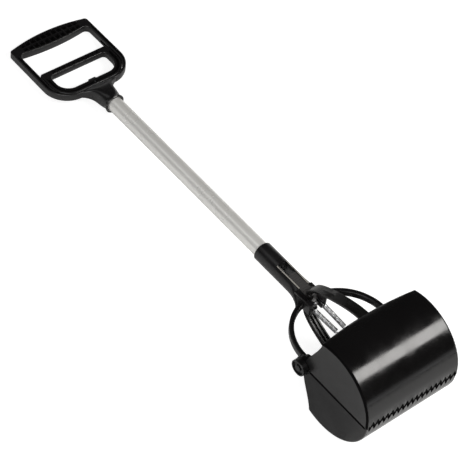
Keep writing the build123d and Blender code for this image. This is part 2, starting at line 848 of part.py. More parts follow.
# Hinge axle, washers and caps
axle_half = half_jaw + axle_overhang
save(cross_pin(0, 0, axle_radius, axle_half), "hinge_axle")
for name, hand in (("left", 1), ("right", -1)):
    with BuildPart() as washer:
        with BuildSketch(side.offset(hand * arch_radius)):
            Circle(washer_radius)
            Circle(axle_radius, mode=Mode.SUBTRACT)
        extrude(amount=hand * washer_thickness)
    save(washer.part, f"{name}_hinge_washer")

    with BuildPart() as cap:
        with BuildSketch(side.offset(hand * (half_jaw + side_clearance))):
            Circle(cap_radius)
        extrude(amount=hand * cap_thickness)
        with BuildSketch(side.offset(hand * (half_jaw + side_clearance + cap_thickness))):
            Circle(cap_radius - cap_rim)
            Circle(cap_boss_radius, mode=Mode.SUBTRACT)
        extrude(amount=-hand * cap_recess, mode=Mode.SUBTRACT)
        circles = cap.edges().filter_by(GeomType.CIRCLE)
        rims = [edge for edge in circles if edge.radius > cap_radius - cap_rim / 2]
        fillet(rims, cap_round)
        with BuildSketch(side.offset(hand * (half_jaw + side_clearance))):
            Circle(axle_radius)
        extrude(amount=hand * (axle_overhang - side_clearance), mode=Mode.SUBTRACT)
    save(cap.part, f"{name}_hinge_cap")

# Springs: close coils between two long hooks, each one unbroken wire
hook_radius_foot = axle_radius + hook_clearance + wire_radius
hook_radius_top = spring_pin_radius + hook_clearance + wire_radius
spring_rake = atan2(coil_head_spacing - coil_foot_spacing, spring_pin_height)
spring_length = hypot(coil_head_spacing - coil_foot_spacing, spring_pin_height)
coil_head = coil_foot + coil_turns * coil_pitch


def biarc(start, start_way, end, end_way):
    """Two arcs that meet smoothly, from one point and direction to another."""
    chord = end - start
    ways = start_way + end_way
    bend = 2 * (start_way.dot(end_way) - 1)
    along = 2 * chord.dot(ways)
    if abs(bend) < 1e-9:
        reach = chord.dot(chord) / along
    else:
        reach = (along - sqrt(along**2 - 4 * bend * chord.dot(chord))) / (2 * bend)
    first = start + start_way * reach
    second = end - end_way * reach
    middle = (first + second) * 0.5
    middle_way = (second - first).normalized()
    return [
        Edge.make_tangent_arc(start, start_way, middle),
        Edge.make_tangent_arc(middle, middle_way, end),
    ]


def coil_point(turns):
    """Point of the coil and its direction after a number of turns."""
    angle = 2 * pi * turns
    rise = coil_pitch / (2 * pi * coil_radius)
    point = Vector(coil_radius * cos(angle), coil_radius * sin(angle), coil_foot + coil_pitch * turns)
    return point, Vector(-sin(angle), cos(angle), rise).normalized()


def spring_path():
    """Wire of one spring along its own Z axis, from the axle's hook to the pin's hook."""
    up = Vector(0, 0, 1)
    down = Vector(0, 0, -1)
    foot_side = Vector(0, hook_radius_foot, 0)
    foot_rise = Vector(0, -hook_radius_foot, 0)
    foot_bend = Vector(0, 0, hook_radius_foot + hook_run)
    head_bend = Vector(0, 0, coil_head + hook_rise)
    top_run = Vector(0, 0, spring_length - hook_run)
    top_rise = Vector(0, hook_radius_top, spring_length)
    top_side = Vector(0, -hook_radius_top, spring_length)
    path = [Edge.make_line(foot_side + up * hook_tail, foot_side)]
    path += biarc(foot_side, down, foot_rise, up)
    path += biarc(foot_rise, up, foot_bend, up)
    foot_leg = Vector(0, 0, coil_foot - hook_rise)
    path.append(Edge.make_line(foot_bend, foot_leg))
    path += biarc(foot_leg, up, *coil_point(0))
    for half_turn in range(2 * coil_turns):
        path += biarc(*coil_point(half_turn / 2), *coil_point((half_turn + 1) / 2))
    path += biarc(*coil_point(coil_turns), head_bend, up)
    path.append(Edge.make_line(head_bend, top_run))
    path += biarc(top_run, up, top_rise, up)
    path += biarc(top_rise, up, top_side, down)
    path.append(Edge.make_line(top_side, top_side + down * hook_tail))
    return path


def least_gap(path):
    """Least gap between parts of the wire that lie further apart along it than across."""
    points = []
    travelled = 0
    for edge in path:
        count = max(2, round(edge.length / wire_radius))
        for index in range(count):
            points.append((travelled + edge.length * index / count, edge @ (index / count)))
        travelled += edge.length
    apart = 6 * wire_radius
    gaps = []
    for index, (place, point) in enumerate(points):
        for other_place, other in points[index + 1 : index + 60]:
            if other_place - place > apart:
                gaps.append((other - point).length - 2 * wire_radius)
    return min(gaps)


spring_edges = spring_path()
print(f"least gap of a spring to itself {least_gap(spring_edges):.3f} mm")
for name, hand in (("left", 1), ("right", -1)):
    spring_z = tool.z_dir * cos(spring_rake) + tool.x_dir * (hand * sin(spring_rake))
    spring_x = tool.x_dir * cos(spring_rake) - tool.z_dir * (hand * sin(spring_rake))
    spring_foot = tool.origin + tool.x_dir * (hand * coil_foot_spacing)
    spring_plane = Plane(origin=spring_foot, x_dir=spring_x, z_dir=spring_z)
    with BuildPart() as spring:
        with BuildLine() as wire:
            add([spring_plane.from_local_coords(edge) for edge in spring_edges])
        with BuildSketch(Plane(origin=wire.wires()[0] @ 0, z_dir=wire.wires()[0] % 0)):
            Circle(wire_radius)
        sweep()
    save(spring.part, f"{name}_spring")
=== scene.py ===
import json
from math import asin, atan2, copysign, cos, pi, radians, sin, sqrt

import bmesh
import bpy
from bpy.props import FloatProperty, FloatVectorProperty, IntProperty, PointerProperty
from mathutils import Matrix, Vector


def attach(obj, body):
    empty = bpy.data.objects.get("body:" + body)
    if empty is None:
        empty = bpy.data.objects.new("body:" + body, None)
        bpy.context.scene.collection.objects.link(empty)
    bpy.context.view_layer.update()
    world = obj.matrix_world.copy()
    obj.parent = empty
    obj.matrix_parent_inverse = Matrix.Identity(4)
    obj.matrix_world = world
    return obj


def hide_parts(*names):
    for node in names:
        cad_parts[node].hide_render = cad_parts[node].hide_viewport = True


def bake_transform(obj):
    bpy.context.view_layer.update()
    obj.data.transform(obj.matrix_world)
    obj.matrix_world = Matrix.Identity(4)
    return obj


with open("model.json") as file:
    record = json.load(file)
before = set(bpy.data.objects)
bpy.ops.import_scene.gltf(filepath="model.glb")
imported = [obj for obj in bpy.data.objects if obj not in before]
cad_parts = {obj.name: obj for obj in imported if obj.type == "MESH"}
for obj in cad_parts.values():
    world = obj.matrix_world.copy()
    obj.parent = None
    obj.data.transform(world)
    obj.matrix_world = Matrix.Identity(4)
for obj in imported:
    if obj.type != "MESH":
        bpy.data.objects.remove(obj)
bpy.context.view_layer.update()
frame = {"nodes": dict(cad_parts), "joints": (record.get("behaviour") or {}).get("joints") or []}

bl_info = {
    "name": "Pooper scooper",
    "version": (1, 0, 0),
    "blender": (4, 5, 0),
    "location": "3D View > Sidebar > Scooper",
    "description": "Dresses the long handled two jaw scooper with its moulded, painted and steel pieces",
    "category": "Object",
}


# ---- tool frame

def joint_named(name):
    for joint in frame["joints"]:
        if joint["name"] == name:
            return joint
    raise RuntimeError("the frame has no joint " + name)


def framed(across, ahead, up, place):
    """Matrix of three axes and a place."""
    matrix = Matrix((across, ahead, up)).transposed().to_4x4()
    matrix.translation = place
    return matrix


def added(name, data):
    """A new object in the scene."""
    item = bpy.data.objects.new(name, data)
    bpy.context.scene.collection.objects.link(item)
    return item


def tool_matrix():
    """X along the hinge, Y towards the front jaw, Z up the tube, from the hinge's middle."""
    up = Vector(joint_named("trigger_slide")["axis"]).normalized()
    origin = Vector(joint_named("front_jaw_hinge")["pos_m"])
    across = Vector((1.0, 0.0, 0.0))
    ahead = up.cross(across).normalized()
    return framed(across, ahead, up, Vector((0.0, origin.y, origin.z)))


TOOL = tool_matrix()
MM = 0.001


# ---- finishes

def node(tree, kind, **values):
    made = tree.nodes.new(kind)
    for name, value in values.items():
        if name in made.inputs:
            made.inputs[name].default_value = value
        else:
            setattr(made, name, value)
    return made


def finish_named(name):
    """The finish of a slot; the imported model's own materials have the bare slot names."""
    return bpy.data.materials[name + "_finish"]


def new_material(name):
    material = bpy.data.materials.new(name + "_finish")
    material.use_nodes = True
    tree = material.node_tree
    tree.nodes.clear()
    output = node(tree, "ShaderNodeOutputMaterial")
    shader = node(tree, "ShaderNodeBsdfPrincipled")
    tree.links.new(shader.outputs["BSDF"], output.inputs["Surface"])
    place = node(tree, "ShaderNodeTexCoord")
    return tree, shader, place.outputs["Object"]


def grain(tree, place, scale, detail, rough=0.5):
    noise = node(tree, "ShaderNodeTexNoise", Scale=scale, Detail=detail, Roughness=rough)
    tree.links.new(place, noise.inputs["Vector"])
    return noise.outputs["Fac"]


def ranged(tree, value, low, high, to_low, to_high):
    made = node(tree, "ShaderNodeMapRange")
    names = ("From Min", "From Max", "To Min", "To Max")
    for name, amount in zip(names, (low, high, to_low, to_high)):
        made.inputs[name].default_value = amount
    tree.links.new(value, made.inputs["Value"])
    return made.outputs["Result"]


def mottled(tree, place, scale, detail, low=0.3, high=0.7, to_low=0.0, to_high=1.0, rough=0.5):
    """Noise of so many spots a metre, its values from low to high spread over another range."""
    return ranged(tree, grain(tree, place, scale, detail, rough), low, high, to_low, to_high)


def worked(tree, operation, first, second=None):
    """Result of a sum of two terms, each a number or another node's output."""
    made = node(tree, "ShaderNodeMath", operation=operation)
    for socket, term in zip(made.inputs, (first, second)):
        if isinstance(term, float):
            socket.default_value = term
        elif term is not None:
            tree.links.new(term, socket)
    return made.outputs[0]


def mixed(tree, factor, first, second):
    made = node(tree, "ShaderNodeMix", data_type="RGBA")
    tree.links.new(factor, made.inputs["Factor"])
    for socket, value in (("A", first), ("B", second)):
        target = [s for s in made.inputs if s.name == socket and s.type == "RGBA"][0]
        if isinstance(value, tuple):
            target.default_value = value
        else:
            tree.links.new(value, target)
    return [s for s in made.outputs if s.type == "RGBA"][0]


def bumped(tree, shader, height, distance):
    made = node(tree, "ShaderNodeBump", Strength=1.0, Distance=distance)
    tree.links.new(height, made.inputs["Height"])
    tree.links.new(made.outputs["Normal"], shader.inputs["Normal"])


def shade(colour, factor):
    return tuple(c * factor for c in colour[:3]) + (1.0,)


def moulded_plastic(name, colour, roughness, grain_size, grain_depth, sheen):
    """Moulded plastic: a fine mould grain, faint flow shading, dust and a rubbed sheen."""
    flow_spread, dust_shade, dust_share = 0.10, 1.6, 0.35
    tree, shader, place = new_material(name)
    flow = mottled(tree, place, scale=14.0, detail=3.0)
    tint = mixed(tree, flow, shade(colour, 1.0 - flow_spread), shade(colour, 1.0 + flow_spread))
    dust = mottled(tree, place, scale=900.0, detail=2.0, low=0.64, high=0.72, to_high=dust_share)
    tree.links.new(mixed(tree, dust, tint, shade(colour, dust_shade)), shader.inputs["Base Color"])
    rub = mottled(
        tree, place, scale=38.0, detail=6.0, low=0.35, high=0.65,
        to_low=roughness - 0.05, to_high=roughness + 0.06, rough=0.65,
    )
    tree.links.new(rub, shader.inputs["Roughness"])
    shader.inputs["IOR"].default_value = 1.52
    shader.inputs["Specular IOR Level"].default_value = sheen
    bumped(tree, shader, grain(tree, place, 1.0 / grain_size, 2.0), grain_depth)


def painted_metal(name, colour, roughness):
    """Sprayed satin paint on tube: orange peel, broad changes of tint and small rubs."""
    pale, dark, rubbed, rub_share = 1.03, 0.96, 0.78, 0.12
    tree, shader, place = new_material(name)
    broad = mottled(tree, place, scale=9.0, detail=4.0)
    tint = mixed(tree, broad, shade(colour, dark), shade(colour, pale))
    rub = mottled(tree, place, scale=55.0, detail=8.0, low=0.66, high=0.74, to_high=rub_share, rough=0.7)
    tree.links.new(mixed(tree, rub, tint, shade(colour, rubbed)), shader.inputs["Base Color"])
    rough = mottled(tree, place, scale=30.0, detail=6.0, to_low=roughness - 0.02, to_high=roughness + 0.03)
    tree.links.new(rough, shader.inputs["Roughness"])
    shader.inputs["Metallic"].default_value = 0.38
    shader.inputs["IOR"].default_value = 1.5
    bumped(tree, shader, grain(tree, place, scale=700.0, detail=2.0), distance=0.000008)


def drawn_steel(name, colour, roughness):
    """Drawn or turned steel: a fine grain, a soft sheen and a little dulling."""
    dulled = 0.72
    tree, shader, place = new_material(name)
    dull = mottled(tree, place, scale=120.0, detail=6.0, low=0.35, high=0.7, rough=0.65)
    tree.links.new(mixed(tree, dull, shade(colour, 1.0), shade(colour, dulled)), shader.inputs["Base Color"])
    rough = mottled(tree, place, scale=260.0, detail=4.0, to_low=roughness - 0.06, to_high=roughness + 0.10)
    tree.links.new(rough, shader.inputs["Roughness"])
    shader.inputs["Metallic"].default_value = 1.0
    bumped(tree, shader, grain(tree, place, scale=2500.0, detail=2.0), distance=0.00001)


# ---- settings

def colour_setting(label, words, value):
    return FloatVectorProperty(
        name=label, description=words, default=value, size=3, subtype="COLOR", min=0.0, max=1.0
    )


def length_setting(label, words, value):
    return FloatProperty(name=label, description=words, default=value, min=0.0, unit="LENGTH", precision=5)


class ScooperFinish(bpy.types.PropertyGroup):
    jaw_colour: colour_setting("Jaw colour", "Colour of the jaws' glossy plastic", (0.0036, 0.0033, 0.0034))
    frame_colour: colour_setting("Handle colour", "Colour of handle, loop and yoke", (0.0065, 0.0060, 0.0064))
    link_colour: colour_setting("Link colour", "Colour of the two pull links", (0.0050, 0.0047, 0.0044))
    # painted highlight: the pale colour of the strips laid along the yoke's window edges
    rim_colour: colour_setting("Rim colour", "Colour of the rims of the yoke's window", (0.34, 0.32, 0.29))
    slider_colour: colour_setting("Slider colour", "Colour of the block in the window", (0.048, 0.046, 0.045))
    cap_colour: colour_setting("Hinge cap colour", "Colour of the two hinge caps", (0.0045, 0.0043, 0.0043))
    tube_colour: colour_setting("Tube colour", "Colour of the painted tube", (0.84, 0.83, 0.80))
    bush_colour: colour_setting("Bush colour", "Colour of the rod's guides in the tube", (0.62, 0.60, 0.54))
    steel_colour: colour_setting("Steel colour", "Colour of the springs, pins and screws", (0.56, 0.56, 0.57))


class ScooperStage(bpy.types.PropertyGroup):
    floor_colour: colour_setting("Floor colour", "Colour of the pale floor", (0.80, 0.80, 0.80))
    floor_size: length_setting("Floor size", "Side of the square floor", 12.0)
    lens: FloatProperty(
        name="Lens", description="Focal length of the camera in millimetres", default=141.87, min=10.0
    )


# ---- shaping, in tool millimetres

SQUARE_ON = 0.99  # least share of a face's normal along the axis that it faces
# The recess finish is the handle plastic darkened and made matt: painted shade in the sunk cells and grooves
SUNK = 1  # place of the recess finish among a piece's materials
FOOT_STEPS, TOP_STEPS = 12, 5  # steps in a rounded corner of a D


def close_to(value, target, slack=0.05):
    return abs(value - target) < slack


def mirrored(side, near, far):
    """Two places on one side of the middle, the lower one first."""
    return sorted((near * side, far * side))


def points_in(items):
    return [item for item in items if isinstance(item, bmesh.types.BMVert)]


def extruded(shape, faces, way):
    made = bmesh.ops.extrude_face_region(shape, geom=faces)
    bmesh.ops.translate(shape, verts=points_in(made["geom"]), vec=way)


def bevelled(shape, edges, width, steps):
    bmesh.ops.bevel(
        shape, geom=edges, offset=width, offset_type="OFFSET", segments=steps, profile=0.5,
        affect="EDGES", clamp_overlap=True, material=-1,
    )


def soften(shape, width, steps=2, least=radians(40.0), only=None):
    """Bevel the edges that fold by more than an angle, or those of them that pass a test."""
    edges = [e for e in shape.edges if len(e.link_faces) == 2 and e.calc_face_angle(0.0) > least]
    if only:
        edges = [e for e in edges if only(e)]
    bevelled(shape, edges, width, steps)


def d_outline(shape, half, foot, foot_radius, top, top_radius):
    """Edges of a D's outline in the handle's middle plane, with its four corners rounded."""
    places = ((-half, foot), (half, foot), (half, top), (-half, top))
    rounds = 2 * [(foot_radius, FOOT_STEPS)] + 2 * [(top_radius, TOP_STEPS)]
    before = set(shape.edges)
    points = [shape.verts.new((x, 0.0, z)) for x, z in places]
    shape.faces.new(points)
    for point, (radius, steps) in zip(points, rounds):
        bmesh.ops.bevel(
            shape, geom=[point], offset=radius, offset_type="OFFSET", segments=steps,
            profile=0.5, affect="VERTICES", material=-1,
        )
    face = [f for f in shape.faces if all(edge not in before for edge in f.edges)]
    bmesh.ops.delete(shape, geom=face, context="FACES_ONLY")
    return [edge for edge in shape.edges if edge not in before]


def bowed(shape, edges, height, places, bow):
    """Divide the outline's straight edge at one height at the places given, and bow it by bow."""
    level = [e for e in edges if all(close_to(v.co.z, height) for v in e.verts)]
    edge = max(level, key=lambda e: e.calc_length())
    half = abs(edge.verts[0].co.x)
    made = bmesh.ops.subdivide_edges(shape, edges=[edge], cuts=len(places))
    points = sorted(points_in(made["geom_inner"]), key=lambda v: v.co.x)
    for point, place in zip(points, sorted(places)):
        point.co.x = place
        point.co.z = height + bow * (1.0 - (place / half) ** 2)


def plate(shape, start, way):
    """Move the flat faces of a shape by start and thicken them by way."""
    bmesh.ops.translate(shape, verts=shape.verts[:], vec=start)
    extruded(shape, shape.faces[:], way)
    bmesh.ops.recalc_face_normals(shape, faces=shape.faces[:])


def d_frame(shape, sizes):
    """D-shaped plate with an opening, its top bar divided into cells and bowed on both sides."""
    columns = [-sizes.cell_reach + sizes.cell_pitch * index for index in range(sizes.cell_count + 1)]
    outlines = (sizes.outline, sizes.opening)
    loops = [d_outline(shape, **outline) for outline in outlines]
    for loop, outline, bow in zip(loops, outlines, sizes.bows):
        bowed(shape, loop, outline["top"], columns, bow)
    bmesh.ops.bridge_loops(shape, edges=shape.edges[:])
    plate(shape, (0.0, -sizes.depth / 2, 0.0), (0.0, sizes.depth, 0.0))
    soften(shape, sizes.edge, 3, radians(60.0))


def facing(shape, hand, test):
    """Faces of the front (hand 1) or the back (hand -1) whose middle passes a test."""
    return [f for f in shape.faces if f.normal.y * hand > SQUARE_ON and test(f.calc_center_median())]


def grooved(shape, faces, rim, slope, depth, rib=None):
    """Sink faces inside a rim, with sloping walls: as one region, or as cells with ribs between."""
    if not faces:
        raise RuntimeError("no faces to sink")
    inset = bmesh.ops.inset_region
    inset(shape, faces=faces, thickness=rim, use_even_offset=True, use_boundary=True)
    if rib:
        inset = bmesh.ops.inset_individual
        inset(shape, faces=faces, thickness=rib / 2, use_even_offset=True)
    inset(shape, faces=faces, thickness=slope, depth=-depth, use_even_offset=True)
    # the sunk faces take the recess finish, a darker matt copy of the plastic as painted shade
    for face in faces:
        face.material_index = SUNK


def block(shape, low, high, edge, steps=2):
    """A bevelled block between two corners, joined to a shape as its own shell."""
    low, high = Vector(low), Vector(high)
    made = bmesh.ops.create_cube(shape, size=1.0)["verts"]
    bmesh.ops.scale(shape, vec=high - low, verts=made)
    bmesh.ops.translate(shape, vec=(low + high) / 2, verts=made)
    bevelled(shape, list({e for v in made for e in v.link_edges}), edge, steps)


def turned(shape, profile, steps=64):
    """Spin a profile of (radius, height) points round the tube's axis."""
    before = set(shape.faces)
    points = [shape.verts.new((radius, 0.0, height)) for radius, height in profile]
    edges = [shape.edges.new(pair) for pair in zip(points, points[1:])]
    bmesh.ops.spin(
        shape, geom=points + edges, cent=(0.0, 0.0, 0.0), axis=(0.0, 0.0, 1.0),
        angle=2 * pi, steps=steps, use_merge=True,
    )
    made = [f for f in shape.faces if f not in before]
    bmesh.ops.remove_doubles(shape, verts=list({v for f in made for v in f.verts}), dist=0.001)
    made = [f for f in shape.faces if f not in before]
    bmesh.ops.recalc_face_normals(shape, faces=made)
    return made


def joined(shape, other):
    """Add another shape's shell to a shape."""
    mesh = bpy.data.meshes.new("joined")
    other.to_mesh(mesh)
    other.free()
    shape.from_mesh(mesh)
    bpy.data.meshes.remove(mesh)


def make_piece(shape, name, materials, body, nodes, sharp=32.0):
    """A finished piece: its place in its mesh, riding on a body in the place of its nodes."""
    bmesh.ops.transform(shape, matrix=TOOL @ Matrix.Scale(MM, 4), verts=shape.verts[:])
    mesh = bpy.data.meshes.new(name)
    shape.to_mesh(mesh)
    shape.free()
    mesh.shade_smooth()
    mesh.set_sharp_from_angle(angle=radians(sharp))
    for material in materials:
        mesh.materials.append(finish_named(material))
    piece = added(name, mesh)
    if isinstance(body, str):
        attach(piece, body)
    if nodes:
        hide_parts(*nodes)
    return piece


def merged_copy(node_name):
    """A node's solid in tool millimetres, its loose triangles joined into whole faces."""
    merge_distance, flat_angle = 0.002, radians(0.6)
    shape = bmesh.new()
    shape.from_mesh(frame["nodes"][node_name].data)
    bmesh.ops.transform(shape, matrix=Matrix.Scale(1.0 / MM, 4) @ TOOL.inverted(), verts=shape.verts[:])
    bmesh.ops.remove_doubles(shape, verts=shape.verts[:], dist=merge_distance)
    bmesh.ops.dissolve_limit(
        shape, angle_limit=flat_angle, verts=shape.verts[:], edges=shape.edges[:],
        use_dissolve_boundaries=False,
    )
    return shape


# ---- handle and trigger

class ScooperHandle(bpy.types.PropertyGroup):
    cell_depth: length_setting("Grip cell depth", "Depth of the cells in the grip and the finger bar", 0.0034)
    rail_groove: length_setting("Rail groove depth", "Depth of the groove between a rail's rims", 0.0018)
    collar_flare: length_setting("Collar flare", "How far the lip of the collar stands out", 0.0009)


class SCOOPER_OT_handle(bpy.types.Operator):
    """Model the D handle with its grip cells, grooved rails, guide slots and funnel collar"""

    bl_idname = "scooper.handle"
    bl_label = "Handle"

    outline = dict(half=64.5, foot=525.5, foot_radius=37.0, top=646.5, top_radius=5.0)
    opening = dict(half=57.4, foot=528.5, foot_radius=29.9, top=632.0, top_radius=7.0)
    bows = (7.5, -4.0)  # of the outline and of the opening
    depth, edge = 11.5, 1.3
    grip_foot = 620.0
    cell_count, cell_pitch, cell_reach = 11, 8.8, 48.4
    cell_border, cell_rib, cell_slope = 0.9, 1.7, 0.4
    rail_foot, rail_top, rail_inner = 541.0, 615.0, 40.0
    rail_rim, rail_slope = 1.15, 0.3
    slot_foot, slot_top, slot_half, slot_depth = 561.7, 600.3, 2.1, 2.0
    collar_middle = 497.0
    collar_rings = (
        # height, half width, half depth, squareness, share of the flare
        (500.0, 11.05, 11.05, 2.0, 0.0),
        (488.4, 11.05, 11.05, 2.0, 0.0),
        (487.3, 11.5, 11.5, 2.0, 0.0),
        (487.0, 12.3, 12.3, 2.0, 0.0),
        (487.1, 13.2, 13.2, 2.0, 1.0),
        (487.8, 13.8, 13.8, 2.0, 1.0),
        (489.2, 13.8, 13.8, 2.0, 0.7),
        (491.2, 13.5, 13.5, 2.0, 0.2),
        (494.0, 13.5, 13.5, 2.0, 0.0),
        (498.0, 13.6, 13.4, 2.5, 0.0),
        (503.0, 13.8, 13.1, 3.2, 0.0),
        (509.0, 14.4, 12.5, 3.8, 0.0),
        (513.0, 15.2, 11.8, 4.2, 0.0),
        (516.0, 16.4, 11.0, 4.6, 0.0),
        (518.8, 18.4, 10.0, 5.0, 0.0),
        (521.3, 21.3, 8.8, 5.0, 0.0),
        (523.6, 25.2, 7.3, 5.0, 0.0),
        (525.8, 30.0, 6.1, 5.0, 0.0),
        (527.6, 34.0, 5.5, 5.0, 0.0),
    )

    def execute(self, context):
        values = context.scene.scooper_handle
        shape = bmesh.new()
        d_frame(shape, self)
        self.grip_rows(shape)
        for hand in (1, -1):
            grip = facing(shape, hand, lambda c: c.z > self.grip_foot and abs(c.x) < self.cell_reach)
            grooved(shape, grip, self.cell_border, self.cell_slope, values.cell_depth / MM, self.cell_rib)
            for side in (1, -1):
                rail = facing(
                    shape, hand,
                    lambda c: self.rail_foot < c.z < self.rail_top and c.x * side > self.rail_inner,
                )
                grooved(shape, rail, self.rail_rim, self.rail_slope, values.rail_groove / MM)
        for side in (1, -1):
            self.guide_slot(shape, side)
        self.collar(shape, values.collar_flare / MM)
        materials = ["handle_plastic", "recess_plastic"]
        make_piece(shape, "handle_shell", materials, "root", ["handle_frame"])
        return {"FINISHED"}

    def grip_rows(self, shape):
        """Divide the grip's flat faces into two rows of cells."""
        cross = [
            e for e in shape.edges
            if all(abs(f.normal.y) > SQUARE_ON for f in e.link_faces) and len(e.link_faces) == 2
            and all(v.co.z > self.grip_foot and abs(v.co.x) < self.cell_reach + 0.2 for v in e.verts)
        ]
        bmesh.ops.subdivide_edges(shape, edges=cross, cuts=1, use_grid_fill=True)

    def guide_slot(self, shape, side):
        """Sink the slot for a tongue of the trigger loop into the inner wall of one rail."""
        inner = side * self.opening["half"]
        wall = [
            f for f in shape.faces
            if f.normal.x * side < -SQUARE_ON and close_to(f.calc_center_median().x, inner, 0.2)
        ]
        wall = [max(wall, key=lambda f: f.calc_area())]
        cuts = [((0, 0, height), (0, 0, 1)) for height in (self.slot_foot, self.slot_top)]
        cuts += [((0, depth, 0), (0, 1, 0)) for depth in (self.slot_half, -self.slot_half)]
        for place, way in cuts:
            geometry = list({g for f in wall for g in (f, *f.edges, *f.verts)})
            cut = bmesh.ops.bisect_plane(shape, geom=geometry, dist=0.0001, plane_co=place, plane_no=way)
            wall = [g for g in cut["geom"] if isinstance(g, bmesh.types.BMFace)]
        middles = [(f, f.calc_center_median()) for f in wall]
        slot = [f for f, c in middles if abs(c.y) < self.slot_half and self.slot_foot < c.z < self.slot_top]
        extruded(shape, slot, (self.slot_depth * side, 0.0, 0.0))
        bmesh.ops.delete(shape, geom=slot, context="FACES_ONLY")

    def collar(self, shape, flare):
        """Funnel that flares from the tube into the lower bar."""
        made = turned(shape, [(1.0, float(index)) for index in range(len(self.collar_rings))])
        for vert in {v for f in made for v in f.verts}:
            height, wide, deep, square, share = self.collar_rings[round(vert.co.z)]
            across, ahead = vert.co.x, vert.co.y
            vert.co.x = (wide + share * flare) * copysign(abs(across) ** (2.0 / square), across)
            vert.co.y = (deep + share * flare) * copysign(abs(ahead) ** (2.0 / square), ahead)
            vert.co.z = height
        bmesh.ops.recalc_face_normals(shape, faces=made)
        if max(made, key=self.side_reach).normal.x < 0:
            bmesh.ops.reverse_faces(shape, faces=made)

    def side_reach(self, face):
        """How far out a face near the collar's middle lies."""
        centre = face.calc_center_median()
        return centre.x * close_to(centre.z, self.collar_middle, 3.0)


class SCOOPER_OT_trigger(bpy.types.Operator):
    """Model the pull loop with its finger bar, grooved sides, boss and guide tongues"""

    bl_idname = "scooper.trigger"
    bl_label = "Trigger loop"

    outline = dict(half=56.4, foot=529.2, foot_radius=28.9, top=585.0, top_radius=4.0)
    opening = dict(half=46.5, foot=540.0, foot_radius=19.0, top=575.5, top_radius=5.94)
    bows = (0.0, 0.0)
    depth, edge = 10.4, 1.2
    bar_foot = 574.0
    cell_count, cell_pitch, cell_reach = 10, 8.0, 40.0
    cell_border, cell_rib, slope = 0.8, 1.7, 0.35
    groove_rim = 1.9
    boss_low, boss_high, boss_edge = (-6.0, -5.0, 537.8), (6.0, 5.0, 542.5), 1.2
    tongue_inner, tongue_outer = 55.0, 58.1
    tongue_half, tongue_foot, tongue_top, tongue_edge = 1.8, 562.0, 581.0, 0.4

    def execute(self, context):
        values = context.scene.scooper_handle
        shape = bmesh.new()
        d_frame(shape, self)
        for hand in (1, -1):
            bar = facing(shape, hand, lambda c: c.z > self.bar_foot and abs(c.x) < self.cell_reach)
            grooved(shape, bar, self.cell_border, self.slope, values.cell_depth / MM, self.cell_rib)
            loop = facing(shape, hand, lambda c: c.z < self.bar_foot)
            grooved(shape, loop, self.groove_rim, self.slope, values.rail_groove / MM)
        block(shape, self.boss_low, self.boss_high, self.boss_edge, 3)
        for side in (1, -1):
            low, high = mirrored(side, self.tongue_inner, self.tongue_outer)
            foot, top = (low, -self.tongue_half, self.tongue_foot), (high, self.tongue_half, self.tongue_top)
            block(shape, foot, top, self.tongue_edge)
        materials = ["handle_plastic", "recess_plastic"]
        make_piece(shape, "trigger_shell", materials, "trigger", ["trigger_loop"])
        return {"FINISHED"}


# ---- yoke, slider, links and jaws

class SCOOPER_OT_yoke(bpy.types.Operator):
    """Groove the yoke's legs, soften its edges and lay pale strips along its window as painted highlights"""

    bl_idname = "scooper.yoke"
    bl_label = "Yoke"

    leg_inner, leg_top = 14.2, 80.0
    groove_rim, groove_slope, groove_depth = 1.3, 0.3, 1.2
    edge = 0.4
    # pale strips along the window's edges, painted highlights
    bead_inner, bead_outer = 7.0, 8.2
    bead_back, bead_front = 10.6, 11.9
    bead_foot, bead_top, bead_edge = 89.0, 133.0, 0.25

    def execute(self, context):
        shape = merged_copy("yoke")
        corners = [(hand, side) for hand in (1, -1) for side in (1, -1)]
        for hand, side in corners:
            leg = facing(shape, hand, lambda c: c.x * side > self.leg_inner and c.z < self.leg_top)
            leg = [max(leg, key=lambda f: f.calc_area())]
            bmesh.ops.inset_region(
                shape, faces=leg, thickness=self.groove_rim, use_even_offset=False, use_boundary=True
            )
            bmesh.ops.inset_region(
                shape, faces=leg, thickness=self.groove_slope, depth=-self.groove_depth, use_even_offset=False
            )
        soften(shape, self.edge)
        plain = set(shape.faces)
        for hand, side in corners:
            low, high = mirrored(side, self.bead_inner, self.bead_outer)
            near, far = mirrored(hand, self.bead_back, self.bead_front)
            block(shape, (low, near, self.bead_foot), (high, far, self.bead_top), self.bead_edge)
        # the added strips take the pale finish, a painted highlight
        for face in shape.faces:
            if face not in plain:
                face.material_index = 1
        make_piece(shape, "yoke_shell", ["yoke_plastic", "rim_plastic"], "root", ["yoke"])
        return {"FINISHED"}


class SCOOPER_OT_pull(bpy.types.Operator):
    """Soften the slider and the two links"""

    bl_idname = "scooper.pull"
    bl_label = "Slider and links"

    def execute(self, context):
        for name, width, material, body in (
            ("slider", 0.3, "slider_plastic", "trigger"),
            ("front_link", 0.35, "link_plastic", "front_link"),
            ("rear_link", 0.35, "link_plastic", "rear_link"),
        ):
            shape = merged_copy(name)
            soften(shape, width)
            make_piece(shape, name + "_shell", [material], body, [name])
        return {"FINISHED"}


class ScooperJaws(bpy.types.PropertyGroup):
    radius: length_setting("Jaw radius", "Outside radius of the curved wall", 0.0705)
    wall: length_setting("Wall thickness", "Thickness of the moulded walls", 0.0024)
    teeth: IntProperty(name="Teeth", description="Number of teeth on the lip of each jaw", default=18, min=2)
    tooth_height: length_setting("Tooth height", "Height of the teeth from root to tip", 0.0084)
    tooth_gap: length_setting("Tooth gap", "Gap between the teeth of the two jaws", 0.0022)
    edge: length_setting("Edge radius", "Rounding between the curved wall and the end walls", 0.0034)


